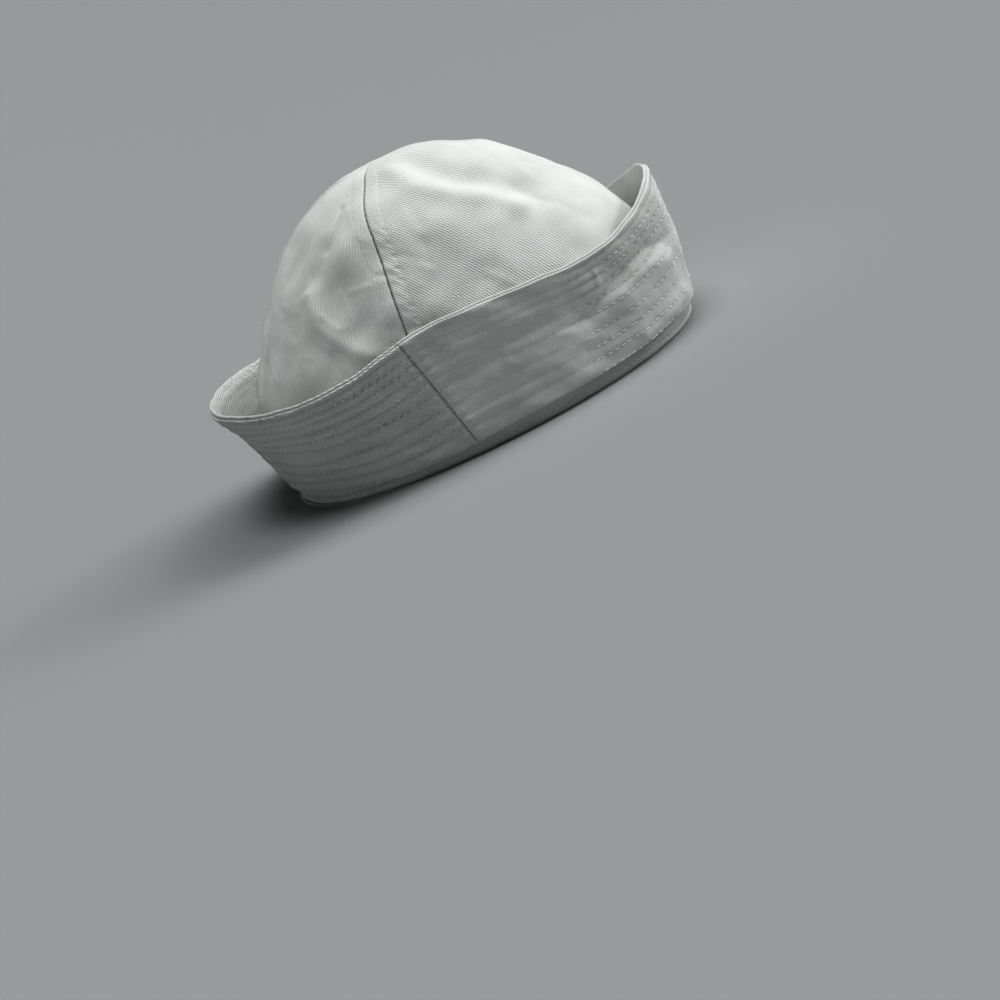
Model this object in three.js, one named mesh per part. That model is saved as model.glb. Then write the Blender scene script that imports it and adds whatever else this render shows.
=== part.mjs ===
// A white cotton twill sailor cap with its stitched brim turned up all round, standing on its headband.
// Millimetres, +Z up. The front of the cap looks along -Y and the wearer's right is -X.
// The origin is under the middle of the whole cap, on the surface that it stands on.
import * as THREE from "three";
import { mergeVertices } from "three/addons/utils/BufferGeometryUtils.js";

const DEGREE = Math.PI / 180;

// The head opening, measured inside the headband. The two halves give a girth of about 570 mm.
const HEAD_HALF_LENGTH = 98.5;
const HEAD_HALF_WIDTH = 80.5;
const HEAD_CENTRE_Y = -6.47; // the brim reaches further out behind the head than in front of it
const OUTLINE_POWER = 2.15; // 2 is an ellipse, and more is squarer
const OUTLINE_TAPER = 0.07; // this share wider towards the back, and narrower towards the front
const AZIMUTH_STEP = 5; // degrees between the columns of the crown and headband
const CUFF_AZIMUTH_STEP = 6;
const MERGE_DISTANCE = 1e-4; // points nearer than this are one

const SEAM_GAP = 0.3; // between pieces that are sewn together on the real cap
const CUFF_GAP = 0.5; // between the headband and the brim's fold
const CROWN_WALL = 1.4;
const CUFF_WALL = 2.6; // two layers of twill with turned-in edges between them
const BAND_WALL = 1.4;

// The headband is folded under the crown's lower edge, with a tall leg inside and a short one outside.
const BAND_INSIDE_HEIGHT = 26;
const BAND_OUTSIDE_HEIGHT = 14;
const BAND_EDGE_ROUND = 0.7;
const BAND_OUTSIDE_LEAN = 0.5; // the outer leg draws in towards the floor
const BAND_LEAN_HEIGHT = 5;

// Each layer's outer face, as a distance out from the inside of the headband.
const CROWN_OUT = BAND_WALL + SEAM_GAP + CROWN_WALL;
const BAND_OUT = CROWN_OUT + SEAM_GAP + BAND_WALL;
const CUFF_OUT = BAND_OUT + CUFF_GAP + CUFF_WALL;

// Crown sections from the lower edge to the top. length and width are half sizes.
// back moves the centre.
const CROWN_SECTIONS = [
  { height: 2.2, length: HEAD_HALF_LENGTH + CROWN_OUT, width: HEAD_HALF_WIDTH + CROWN_OUT, back: 0 },
  { height: 10, length: HEAD_HALF_LENGTH + CROWN_OUT, width: HEAD_HALF_WIDTH + CROWN_OUT, back: 0 },
  { height: 25, length: 102.3, width: 84.0, back: 0 },
  { height: 43, length: 101.2, width: 83.0, back: 0.4 },
  { height: 56, length: 97.0, width: 80.4, back: 0.6 },
  { height: 67, length: 90.6, width: 76.7, back: 0.5 },
  { height: 78, length: 83.2, width: 72.2, back: 1.0 },
  { height: 88.9, length: 73.8, width: 65.9, back: 1.5 },
  { height: 102.9, length: 60.6, width: 55.1, back: 1.9 },
  { height: 113.4, length: 47.2, width: 43.2, back: 1.8 },
  { height: 121.8, length: 28.6, width: 26.7, back: 2.4 },
  { height: 125.1, length: 14.7, width: 13.8, back: 4.0 },
  { height: 125.8, length: 0, width: 0, back: 5.0 },
];
const CROWN_ROWS = 15;
const CROWN_TOP_SHARE = 0.985; // above this the cloth is level, and the outlines too small to give a normal

// Four gores meet along these seams. An azimuth is counted from the front towards the wearer's right.
const CROWN_SEAMS = { front: 0, right: 103.5, back: 180, left: 256.5 };

// Soft dents and swellings of the crown, each along a line between two places on it. lift is outwards.
const CROWN_FOLDS = [
  { fromAzimuth: 61, fromHeight: 120, toAzimuth: 43, toHeight: 88, width: 8, lift: -2.2 },
  { fromAzimuth: 80, fromHeight: 118, toAzimuth: 53, toHeight: 86, width: 6, lift: 1.5 },
  { fromAzimuth: 85, fromHeight: 86, toAzimuth: 82, toHeight: 78, width: 10, lift: -1.2 },
  { fromAzimuth: 126, fromHeight: 113, toAzimuth: 130, toHeight: 106, width: 7, lift: -1.6 },
  { fromAzimuth: 122, fromHeight: 92, toAzimuth: 118, toHeight: 79, width: 11, lift: -2.6 },
  { fromAzimuth: 136, fromHeight: 92, toAzimuth: 128, toHeight: 77, width: 5, lift: 1.3 },
  { fromAzimuth: 127, fromHeight: 76, toAzimuth: 114, toHeight: 64, width: 5, lift: 1.3 },
  { fromAzimuth: 218, fromHeight: 108, toAzimuth: 232, toHeight: 80, width: 10, lift: -2.0 },
  { fromAzimuth: 238, fromHeight: 92, toAzimuth: 242, toHeight: 74, width: 6, lift: 1.2 },
  { fromAzimuth: 300, fromHeight: 114, toAzimuth: 292, toHeight: 80, width: 11, lift: -2.0 },
  { fromAzimuth: 318, fromHeight: 104, toAzimuth: 306, toHeight: 78, width: 7, lift: 1.2 },
  { fromAzimuth: 340, fromHeight: 108, toAzimuth: 330, toHeight: 84, width: 9, lift: -1.4 },
];

// The turned-up brim, round the cap. fold is the height of its lower fold, rim the height of its edge,
// flare how far the edge stands out from the fold, and belly how far the wall between them bows outwards.
const CUFF_STATIONS = [
  { azimuth: 0, fold: 7.0, rim: 71.0, flare: 4.4, belly: 1.6 },
  { azimuth: 12, fold: 7.5, rim: 70.4, flare: 4.6, belly: 2.0 },
  { azimuth: 24, fold: 8.2, rim: 67.4, flare: 5.2, belly: 2.4 },
  { azimuth: 35, fold: 8.2, rim: 62.3, flare: 4.8, belly: 2.0 },
  { azimuth: 47, fold: 7.2, rim: 58.1, flare: 3.3, belly: 1.4 },
  { azimuth: 60, fold: 6.6, rim: 57.2, flare: 1.0, belly: 0.2 },
  { azimuth: 75, fold: 7.0, rim: 60.2, flare: -0.5, belly: -0.2 },
  { azimuth: 90, fold: 6.6, rim: 62.3, flare: -1.0, belly: 0.2 },
  { azimuth: 99, fold: 5.4, rim: 62.6, flare: 0.0, belly: 0.2 },
  { azimuth: 108, fold: 4.6, rim: 59.2, flare: 2.5, belly: 0.0 },
  { azimuth: 118, fold: 4.6, rim: 55.8, flare: 7.3, belly: -0.5 },
  { azimuth: 130, fold: 5.8, rim: 53.9, flare: 12.2, belly: -1.0 },
  { azimuth: 144, fold: 7.6, rim: 54.6, flare: 15.4, belly: -2.0 },
  { azimuth: 158, fold: 8.2, rim: 56.1, flare: 17.2, belly: -2.5 },
  { azimuth: 180, fold: 7.6, rim: 56.5, flare: 17.9, belly: -2.8 },
  { azimuth: 202, fold: 7.6, rim: 55.8, flare: 17.2, belly: -2.5 },
  { azimuth: 216, fold: 7.0, rim: 54.8, flare: 15.4, belly: -2.0 },
  { azimuth: 230, fold: 6.0, rim: 54.4, flare: 12.5, belly: -0.5 },
  { azimuth: 242, fold: 5.2, rim: 55.4, flare: 7.5, belly: -0.5 },
  { azimuth: 252, fold: 5.2, rim: 58.4, flare: 2.5, belly: 0.0 },
  { azimuth: 262, fold: 5.8, rim: 61.4, flare: -0.5, belly: 0.2 },
  { azimuth: 275, fold: 6.6, rim: 62.0, flare: -1.0, belly: 0.0 },
  { azimuth: 292, fold: 6.8, rim: 59.6, flare: 0.0, belly: 0.0 },
  { azimuth: 308, fold: 6.8, rim: 57.0, flare: 2.5, belly: 1.0 },
  { azimuth: 322, fold: 7.4, rim: 58.0, flare: 4.5, belly: 2.0 },
  { azimuth: 336, fold: 7.8, rim: 63.7, flare: 5.2, belly: 2.4 },
  { azimuth: 348, fold: 7.4, rim: 68.4, flare: 4.6, belly: 2.0 },
];
// The brim is two bands, sewn together at a seam on each side that leans back as it rises.
const CUFF_SEAM_AT_FOLD = 97;
const CUFF_SEAM_AT_RIM = 103.5;
// Rows of stitching divide the brim into channels, which stand a little proud between the rows.
const CUFF_CHANNELS = 9;
const CHANNEL_RELIEF = 0.5;
// Creases and furrows of the brim, in the same way as the crown's.
const CUFF_FOLDS = [
  { fromAzimuth: 65, fromHeight: 31, toAzimuth: 56, toHeight: 37, width: 8, lift: -2.2 },
  { fromAzimuth: 47, fromHeight: 42, toAzimuth: 30, toHeight: 43, width: 8, lift: -2.2 },
  { fromAzimuth: 86, fromHeight: 41, toAzimuth: 66, toHeight: 39.5, width: 3.5, lift: -0.8 },
  { fromAzimuth: 98, fromHeight: 55, toAzimuth: 96, toHeight: 46, width: 4, lift: -0.8 },
  { fromAzimuth: 46, fromHeight: 12, toAzimuth: 24, toHeight: 15, width: 4, lift: 1.0 },
  { fromAzimuth: 303, fromHeight: 35, toAzimuth: 324, toHeight: 42, width: 8, lift: -1.8 },
  { fromAzimuth: 270, fromHeight: 36, toAzimuth: 286, toHeight: 40, width: 4, lift: -0.8 },
];

const CROWN_COLOUR = 0xeeefec;
const CUFF_COLOUR = 0xe9eae7;
const BAND_COLOUR = 0xe2e3e0;
const CLOTH_ROUGHNESS = 0.9;

// The value of one column of a table between its rows, on a smooth curve through them. A closed table comes
// back to its first row one period on.
function smoothColumn(rows, key, column, at, period = 0) {
  const count = rows.length;
  const wrapped = (i) => ((i % count) + count) % count;
  const row = (i) => rows[period ? wrapped(i) : THREE.MathUtils.clamp(i, 0, count - 1)];
  const keyOf = (i) => row(i)[key] + (period ? Math.floor(i / count) * period : 0);
  const slope = (i) => {
    const run = keyOf(i + 1) - keyOf(i - 1);
    return run ? (row(i + 1)[column] - row(i - 1)[column]) / run : 0;
  };
  const x = period ? ((at % period) + period) % period : at;
  let i = 0;
  while (i < count - (period ? 1 : 2) && keyOf(i + 1) <= x) i += 1;
  const run = keyOf(i + 1) - keyOf(i);
  const t = (x - keyOf(i)) / run;
  const [a, b] = [row(i)[column], row(i + 1)[column]];
  const ease = t * t * (3 - 2 * t);
  return a + (b - a) * ease + run * (t * (1 - t) ** 2 * slope(i) - t * t * (1 - t) * slope(i + 1));
}

// A point of a level outline of the cap, at the outline's own half sizes.
function outlinePoint(azimuth, halfLength, halfWidth, height, back = 0) {
  const rounded = (value) => Math.sign(value) * Math.abs(value) ** (2 / OUTLINE_POWER);
  const [across, ahead] = [Math.sin(azimuth * DEGREE), Math.cos(azimuth * DEGREE)];
  return new THREE.Vector3(
    -halfWidth * rounded(across) * (1 - OUTLINE_TAPER * ahead),
    HEAD_CENTRE_Y + back - halfLength * rounded(ahead),
    height,
  );
}

// The outward unit normal of a surface(azimuth, share), by small steps to either side.
function outwardNormal(surface, azimuth, share) {
  const [turn, rise] = [0.05, 0.001];
  const high = Math.min(share + rise, 1);
  const low = Math.max(share - rise, 0);
  const up = surface(azimuth, high).sub(surface(azimuth, low));
  const along = surface(azimuth + turn, share).sub(surface(azimuth - turn, share));
  return up.cross(along).normalize();
}

// How far the folds lift a point. Each fades with distance from the straight line between its ends.
function foldLift(folds, point) {
  const nearest = new THREE.Vector3();
  return folds.reduce((sum, fold) => {
    const distance = fold.line.closestPointToPoint(point, true, nearest).distanceTo(point);
    return sum + fold.lift * Math.exp(-((distance / fold.width) ** 2));
  }, 0);
}

// Gives each fold its line in space, from two places that placeOf(azimuth, height) finds on the surface.
function withLines(folds, placeOf) {
  return folds.map((fold) => ({
    ...fold,
    line: new THREE.Line3(
      placeOf(fold.fromAzimuth, fold.fromHeight),
      placeOf(fold.toAzimuth, fold.toHeight),
    ),
  }));
}

// The crown's sections get a place along the cloth, from 0 at the lower edge to 1 at the top.
const crownRows = (() => {
  let run = 0;
  const rows = CROWN_SECTIONS.map((section, i) => {
    const before = CROWN_SECTIONS[Math.max(i - 1, 0)];
    run += Math.hypot(section.height - before.height, section.length - before.length);
    return { ...section, run };
  });
  return rows.map((row) => ({ ...row, share: row.run / run }));
})();

function smoothCrown(azimuth, share) {
  const value = (column) => smoothColumn(crownRows, "share", column, share);
  const [length, width] = [Math.max(value("length"), 0), Math.max(value("width"), 0)];
  return outlinePoint(azimuth, length, width, value("height"), value("back"));
}

// The place along the crown's cloth that lies at a height, found by halving.
function crownShareAtHeight(height) {
  let [low, high] = [0, 1];
  while (high - low > 1e-6) {
    const middle = (low + high) / 2;
    if (smoothColumn(crownRows, "share", "height", middle) < height) low = middle;
    else high = middle;
  }
  return low;
}

const crownFolds = withLines(CROWN_FOLDS, (azimuth, height) =>
  smoothCrown(azimuth, crownShareAtHeight(height)),
);

function crownFace(azimuth, share, depth) {
  const point = smoothCrown(azimuth, share);
  const level = share > CROWN_TOP_SHARE;
  const normal = level ? new THREE.Vector3(0, 0, 1) : outwardNormal(smoothCrown, azimuth, share);
  return point.addScaledVector(normal, foldLift(crownFolds, point) - depth);
}

function cuffAt(column, azimuth) {
  return smoothColumn(CUFF_STATIONS, "azimuth", column, azimuth, 360);
}

// The brim's plain outer face, before its channels and folds.
function smoothCuff(azimuth, share) {
  const bow = Math.sin(Math.PI * share) * cuffAt("belly", azimuth);
  const out = CUFF_OUT + cuffAt("flare", azimuth) * share + bow;
  const height = THREE.MathUtils.lerp(cuffAt("fold", azimuth), cuffAt("rim", azimuth), share);
  return outlinePoint(azimuth, HEAD_HALF_LENGTH + out, HEAD_HALF_WIDTH + out, height);
}

const cuffFolds = withLines(CUFF_FOLDS, (azimuth, height) =>
  smoothCuff(azimuth, THREE.MathUtils.inverseLerp(cuffAt("fold", azimuth), cuffAt("rim", azimuth), height)),
);

function cuffFace(azimuth, share, depth) {
  const point = smoothCuff(azimuth, share);
  const normal = outwardNormal(smoothCuff, azimuth, share);
  const relief = depth > 0 ? 0 : Math.abs(Math.sin(Math.PI * CUFF_CHANNELS * share)) * CHANNEL_RELIEF;
  return point.addScaledVector(normal, foldLift(cuffFolds, point) + relief - depth);
}

// Joins four-cornered cells into one closed mesh. A cell that shrinks to a line loses its empty triangles.
function closedGeometry(quads) {
  const positions = [];
  for (const [a, b, c, d] of quads) {
    for (const corner of [a, b, c, a, c, d]) positions.push(corner.x, corner.y, corner.z);
  }
  const loose = new THREE.BufferGeometry();
  loose.setAttribute("position", new THREE.Float32BufferAttribute(positions, 3));
  const geometry = mergeVertices(loose, MERGE_DISTANCE);
  const corners = Array.from(geometry.index.array);
  const kept = [];
  for (let i = 0; i < corners.length; i += 3) {
    const [a, b, c] = corners.slice(i, i + 3);
    if (a !== b && b !== c && c !== a) kept.push(a, b, c);
  }
  geometry.setIndex(kept);
  geometry.computeVertexNormals();
  return geometry;
}

// A piece of cloth with an outer and an inner face. face(column, row, depth) is a point at that depth.
function clothGeometry(face, columns, rows, wall) {
  const grid = (depth) =>
    Array.from({ length: columns + 1 }, (_, i) =>
      Array.from({ length: rows + 1 }, (_, j) => face(i / columns, j / rows, depth)),
    );
  const [outer, inner] = [grid(0), grid(wall)];
  const quads = [];
  for (let i = 0; i < columns; i += 1) {
    for (let j = 0; j < rows; j += 1) {
      quads.push([outer[i][j], outer[i][j + 1], outer[i + 1][j + 1], outer[i + 1][j]]);
      quads.push([inner[i][j], inner[i + 1][j], inner[i + 1][j + 1], inner[i][j + 1]]);
    }
    quads.push([inner[i][0], outer[i][0], outer[i + 1][0], inner[i + 1][0]]);
    quads.push([outer[i][rows], inner[i][rows], inner[i + 1][rows], outer[i + 1][rows]]);
  }
  for (let j = 0; j < rows; j += 1) {
    quads.push([inner[0][j], inner[0][j + 1], outer[0][j + 1], outer[0][j]]);
    quads.push([outer[columns][j], outer[columns][j + 1], inner[columns][j + 1], inner[columns][j]]);
  }
  return closedGeometry(quads);
}

// One gore of the crown between two seams. It narrows to a point at the top.
function goreGeometry(fromSeam, toSeam) {
  const columns = Math.round((toSeam - fromSeam) / AZIMUTH_STEP);
  const middle = (fromSeam + toSeam) / 2;
  const tipShare = 1 - SEAM_GAP / crownRows.at(-1).run;
  return clothGeometry(
    (column, row, depth) => {
      const share = row * tipShare;
      if (row === 1) return crownFace(middle, share, depth);
      const radius = smoothColumn(crownRows, "share", "width", share);
      const inset = SEAM_GAP / 2 / radius / DEGREE;
      return crownFace(THREE.MathUtils.lerp(fromSeam + inset, toSeam - inset, column), share, depth);
    },
    columns,
    CROWN_ROWS,
    CROWN_WALL,
  );
}

// One band of the brim between the side seams.
function cuffGeometry(fromSeam, toSeam) {
  const columns = Math.round((toSeam(0) - fromSeam(0)) / CUFF_AZIMUTH_STEP);
  const inset = SEAM_GAP / 2 / (HEAD_HALF_WIDTH + CUFF_OUT) / DEGREE;
  return clothGeometry(
    (column, row, depth) =>
      cuffFace(THREE.MathUtils.lerp(fromSeam(row) + inset, toSeam(row) - inset, column), row, depth),
    columns,
    CUFF_CHANNELS * 2,
    CUFF_WALL,
  );
}

// The headband, whose section is carried round the head opening. Its foot is flat.
function headbandGeometry() {
  const section = [
    [0, BAND_EDGE_ROUND],
    [BAND_EDGE_ROUND, 0],
    [BAND_OUT - BAND_OUTSIDE_LEAN - BAND_EDGE_ROUND, 0],
    [BAND_OUT - BAND_OUTSIDE_LEAN, BAND_EDGE_ROUND],
    [BAND_OUT, BAND_LEAN_HEIGHT],
    [BAND_OUT, BAND_OUTSIDE_HEIGHT],
    [BAND_OUT - BAND_WALL, BAND_OUTSIDE_HEIGHT],
    [BAND_OUT - BAND_WALL, BAND_WALL + SEAM_GAP],
    [BAND_WALL, BAND_WALL + SEAM_GAP],
    [BAND_WALL, BAND_INSIDE_HEIGHT],
    [0, BAND_INSIDE_HEIGHT],
  ];
  const columns = 360 / AZIMUTH_STEP;
  const place = (i, [out, height]) =>
    outlinePoint((i % columns) * AZIMUTH_STEP, HEAD_HALF_LENGTH + out, HEAD_HALF_WIDTH + out, height);
  const quads = [];
  for (let i = 0; i < columns; i += 1) {
    section.forEach((corner, j) => {
      const next = section[(j + 1) % section.length];
      quads.push([place(i, corner), place(i, next), place(i + 1, next), place(i + 1, corner)]);
    });
  }
  return closedGeometry(quads);
}

function piece(name, geometry, color) {
  const cloth = new THREE.MeshStandardMaterial({ color, roughness: CLOTH_ROUGHNESS, metalness: 0 });
  const mesh = new THREE.Mesh(geometry, cloth);
  mesh.name = name;
  return mesh;
}

const cap = new THREE.Group();

const crown = new THREE.Group();
const { front, right, back, left } = CROWN_SEAMS;
crown.add(piece("crown_gore_front_right", goreGeometry(front, right), CROWN_COLOUR));
crown.add(piece("crown_gore_back_right", goreGeometry(right, back), CROWN_COLOUR));
crown.add(piece("crown_gore_back_left", goreGeometry(back, left), CROWN_COLOUR));
crown.add(piece("crown_gore_front_left", goreGeometry(left, front + 360), CROWN_COLOUR));
cap.add(crown);

const brim = new THREE.Group();
const rightSeam = (share) => THREE.MathUtils.lerp(CUFF_SEAM_AT_FOLD, CUFF_SEAM_AT_RIM, share);
const leftSeam = (share) => 360 - rightSeam(share);
brim.add(piece("cuff_back", cuffGeometry(rightSeam, leftSeam), CUFF_COLOUR));
brim.add(piece("cuff_front", cuffGeometry((share) => leftSeam(share) - 360, rightSeam), CUFF_COLOUR));
cap.add(brim);

cap.add(piece("headband", headbandGeometry(), BAND_COLOUR));

export default cap;
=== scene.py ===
# A white cotton twill sailor cap with its stitched brim turned up, standing on its headband on a floor.
# Shapes are worked out in millimetres, and meshes are made in metres. +Z is up, the front looks along
# -Y and the wearer's right is -X. An azimuth is counted in degrees from the front towards the wearer's
# right.
import math

import bpy
import numpy as np
from mathutils import Matrix, Vector


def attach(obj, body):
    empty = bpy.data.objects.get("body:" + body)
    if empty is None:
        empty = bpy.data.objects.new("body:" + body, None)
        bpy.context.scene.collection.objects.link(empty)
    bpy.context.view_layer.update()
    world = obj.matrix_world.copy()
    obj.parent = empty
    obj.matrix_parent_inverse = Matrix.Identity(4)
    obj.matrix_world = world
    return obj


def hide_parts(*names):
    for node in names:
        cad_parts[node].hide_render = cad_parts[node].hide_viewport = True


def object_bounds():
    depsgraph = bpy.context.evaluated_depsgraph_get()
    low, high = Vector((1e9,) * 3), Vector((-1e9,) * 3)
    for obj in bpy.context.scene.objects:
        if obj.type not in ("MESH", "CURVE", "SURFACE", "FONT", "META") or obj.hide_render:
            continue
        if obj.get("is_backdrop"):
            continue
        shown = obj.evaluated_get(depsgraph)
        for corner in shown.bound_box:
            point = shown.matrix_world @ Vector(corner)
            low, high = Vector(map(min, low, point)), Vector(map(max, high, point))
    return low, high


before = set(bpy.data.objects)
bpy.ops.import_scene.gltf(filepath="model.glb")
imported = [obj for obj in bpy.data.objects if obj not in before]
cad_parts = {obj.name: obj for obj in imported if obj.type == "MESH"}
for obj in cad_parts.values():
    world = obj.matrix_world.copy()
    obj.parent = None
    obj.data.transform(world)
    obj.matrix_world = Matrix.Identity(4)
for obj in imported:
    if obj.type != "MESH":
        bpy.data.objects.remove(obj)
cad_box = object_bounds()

MM = 0.001
DEGREE = math.pi / 180

# Sizes of the cap, which the solids share.
HEAD_HALF_LENGTH = 98.5
HEAD_HALF_WIDTH = 80.5
HEAD_CENTRE_Y = -6.47
OUTLINE_POWER = 2.15
OUTLINE_TAPER = 0.07
CROWN_WALL = 1.4
CUFF_WALL = 2.6
BAND_WALL = 1.4
BAND_OUT = 4.8
CUFF_OUT = 7.9
BAND_INSIDE_HEIGHT = 26
BAND_OUTSIDE_HEIGHT = 14


def columns(names, rows):
    return dict(zip(names.split(), np.array(rows, float).T))


# Level sections of the crown, from its lower edge to the top.
CROWN_SECTIONS = columns("height length width back", [
    (2.2, 101.6, 83.6, 0.0),
    (10.0, 101.6, 83.6, 0.0),
    (25.0, 102.3, 84.0, 0.0),
    (43.0, 101.2, 83.0, 0.4),
    (56.0, 97.0, 80.4, 0.6),
    (67.0, 90.6, 76.7, 0.5),
    (78.0, 83.2, 72.2, 1.0),
    (88.9, 73.8, 65.9, 1.5),
    (102.9, 60.6, 55.1, 1.9),
    (113.4, 47.2, 43.2, 1.8),
    (121.8, 28.6, 26.7, 2.4),
    (125.1, 14.7, 13.8, 4.0),
    (125.8, 0.0, 0.0, 5.0),
])

# The seam between the front and back gores on the right side, which wanders a little as it rises.
SIDE_SEAM = columns("height azimuth", [
    (0.0, 102.0),
    (60.0, 102.2),
    (81.0, 102.6),
    (92.0, 103.0),
    (102.0, 103.7),
    (110.0, 105.4),
    (118.0, 106.8),
    (127.0, 107.0),
])

# Dents and swellings of the crown: outward lift, half width, and the places that each runs through.
CROWN_FOLDS = [
    (-2.2, 8.0, [(60, 123), (62, 116), (59, 108.5), (50, 98), (42.6, 88)]),
    (1.5, 6.0, [(80, 122), (79, 114), (69, 105), (55, 93), (52.5, 86.6)]),
    (-1.2, 10.0, [(87, 84), (82, 80)]),
    (0.8, 7.0, [(25, 107), (25, 104)]),
    (0.8, 7.0, [(17, 79), (18.5, 64)]),
    (-1.7, 6.0, [(130, 105), (133, 98)]),
    (-3.6, 9.5, [(120, 88), (116, 73)]),
    (1.4, 4.0, [(136, 90), (130, 77), (122, 67), (113.5, 59)]),
    (-0.7, 2.0, [(124, 117), (129, 105)]),
    (-2.0, 10.0, [(218, 108), (232, 80)]),
    (1.2, 6.0, [(238, 92), (242, 74)]),
    (-2.0, 11.0, [(300, 114), (292, 80)]),
    (1.2, 7.0, [(318, 104), (306, 78)]),
    (-1.4, 9.0, [(340, 108), (330, 84)]),
]

# The turned-up brim, round the cap, as in the solids.
CUFF_STATIONS = columns("azimuth fold rim flare belly", [
    (0, 7.0, 71.0, 4.4, 1.6),
    (12, 7.5, 70.4, 4.6, 2.0),
    (24, 8.2, 67.4, 5.2, 2.4),
    (35, 8.2, 62.3, 4.8, 2.0),
    (47, 7.2, 58.1, 3.3, 1.4),
    (60, 6.6, 57.2, 1.0, 0.2),
    (75, 7.0, 60.2, -0.5, -0.2),
    (90, 6.6, 62.3, -1.0, 0.2),
    (99, 5.4, 62.6, 0.0, 0.2),
    (108, 4.6, 59.2, 2.5, 0.0),
    (118, 4.6, 55.8, 7.3, -0.5),
    (130, 5.8, 53.9, 12.2, -1.0),
    (144, 7.6, 54.6, 15.4, -2.0),
    (158, 8.2, 56.1, 17.2, -2.5),
    (180, 7.6, 56.5, 17.9, -2.8),
    (202, 7.6, 55.8, 17.2, -2.5),
    (216, 7.0, 54.8, 15.4, -2.0),
    (230, 6.0, 54.4, 12.5, -0.5),
    (242, 5.2, 55.4, 7.5, -0.5),
    (252, 5.2, 58.4, 2.5, 0.0),
    (262, 5.8, 61.4, -0.5, 0.2),
    (275, 6.6, 62.0, -1.0, 0.0),
    (292, 6.8, 59.6, 0.0, 0.0),
    (308, 6.8, 57.0, 2.5, 1.0),
    (322, 7.4, 58.0, 4.5, 2.0),
    (336, 7.8, 63.7, 5.2, 2.4),
    (348, 7.4, 68.4, 4.6, 2.0),
])
CUFF_SEAM_AT_FOLD = 97.0
CUFF_SEAM_AT_RIM = 103.5

# Ridges, furrows and creases of the brim, in the same way as the crown's.
CUFF_FOLDS = [
    (-0.7, 3.4, [(88, 41), (80, 41), (72, 39.5)]),
    (-0.4, 4.0, [(90, 41.5), (66, 39)]),
    (-0.8, 4.0, [(98, 55), (96, 46)]),
    (1.5, 5.0, [(48, 12), (24, 14)]),
    (0.9, 4.6, [(27, 34), (36, 36.4), (44.4, 35.8), (51, 32.6), (58, 28.6)]),
    (0.8, 4.6, [(304, 27.5), (308, 31), (316, 34.5), (328, 35)]),
    (-1.0, 2.8, [(96, 36.5), (86, 36.0)]),
    (0.35, 2.6, [(97, 17.5), (89, 17.2)]),
    (0.3, 3.0, [(97, 17.5), (78, 16.2)]),
    (0.35, 2.6, [(97, 10.7), (90, 10.6)]),
    (0.3, 3.0, [(97, 10.7), (74, 9.8)]),
    (0.5, 1.2, [(55.4, 48.9), (55.6, 42.3), (59, 37.5), (62.3, 34.3)]),
    (0.6, 3.0, [(140, 40), (128, 36), (120, 30)]),
    (-0.6, 3.0, [(146, 34), (132, 29), (122, 25)]),
    (0.6, 2.5, [(150, 27), (136, 22), (126, 18)]),
    (-0.8, 4.0, [(270, 36), (286, 40)]),
]

# Creases along the brim, which bend it inwards: lift, reach below and above, and the places in between.
CUFF_CREASE_LINES = [
    (-3.6, 5.5, 8.0, [(26, 41), (31, 42.5), (36, 44), (44.4, 43.2), (51, 39.9), (57, 36.3), (62.4, 32.5)]),
    (-2.9, 5.5, 8.0, [(301, 33), (306, 37), (316, 41.5), (326, 42)]),
]
CREASE_ROUND = 0.35
CREASE_FADE = 7.0

# Soft unevenness of the cloth: wavelength, height and the seed of its waves.
CROWN_UNEVENNESS = [(34, 0.42, 21), (15, 0.16, 22)]
CUFF_WAVES = (24, 0.3, 35)
CUFF_RIPPLES_OUTSIDE = (7, 0.06, 36)
CUFF_RIPPLES_INSIDE = (7, 0.2, 36)
CUFF_WAVES_INSIDE = (26, 0.5, 37)
CUFF_BACK_CRUMPLES = (11, 0.22, 38)
BAND_UNEVENNESS = (16, 0.14, 51)

# Heights of the rows of stitching, as shares of the brim's wall, and their stitch.
STITCH_ROWS = [0.018, 0.13, 0.235, 0.36, 0.50, 0.60, 0.695, 0.785, 0.86, 0.935]
STITCH_PITCH = 4.0
STITCH_LENGTH = 3.3
CHANNEL_RELIEF = 0.3
FURROW_DEPTH = 0.4
FURROW_HALF_WIDTH = 0.7
CUFF_PUCKER = 0.5


# A table's column between its rows, on a smooth curve through them.
def smooth_column(table, key, column, at, period=None):
    keys, values = table[key], table[column]
    at = np.asarray(at, float)
    if period:
        keys = np.concatenate([keys[-2:] - period, keys, keys[:2] + period])
        values = np.concatenate([values[-2:], values, values[:2]])
        at = np.mod(at, period)
    slopes = np.empty(len(keys))
    slopes[1:-1] = (values[2:] - values[:-2]) / (keys[2:] - keys[:-2])
    slopes[0] = (values[1] - values[0]) / (keys[1] - keys[0])
    slopes[-1] = (values[-1] - values[-2]) / (keys[-1] - keys[-2])
    i = np.clip(np.searchsorted(keys, at, "right") - 1, 0, len(keys) - 2)
    run = keys[i + 1] - keys[i]
    t = np.clip((at - keys[i]) / run, 0, 1)
    ease = t * t * (3 - 2 * t)
    bend = run * (t * (1 - t) ** 2 * slopes[i] - t * t * (1 - t) * slopes[i + 1])
    return values[i] + (values[i + 1] - values[i]) * ease + bend


def smooth_step(low, high, value):
    t = np.clip((value - low) / (high - low), 0, 1)
    return t * t * (3 - 2 * t)


def bell(distance, width):
    return np.exp(-((distance / width) ** 2))


def unit(vectors):
    return vectors / np.maximum(np.linalg.norm(vectors, axis=-1, keepdims=True), 1e-12)


# Degrees from one azimuth to another, the shorter way round.
def turn_from(start, azimuth):
    return np.mod(azimuth - start + 180, 360) - 180


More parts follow.
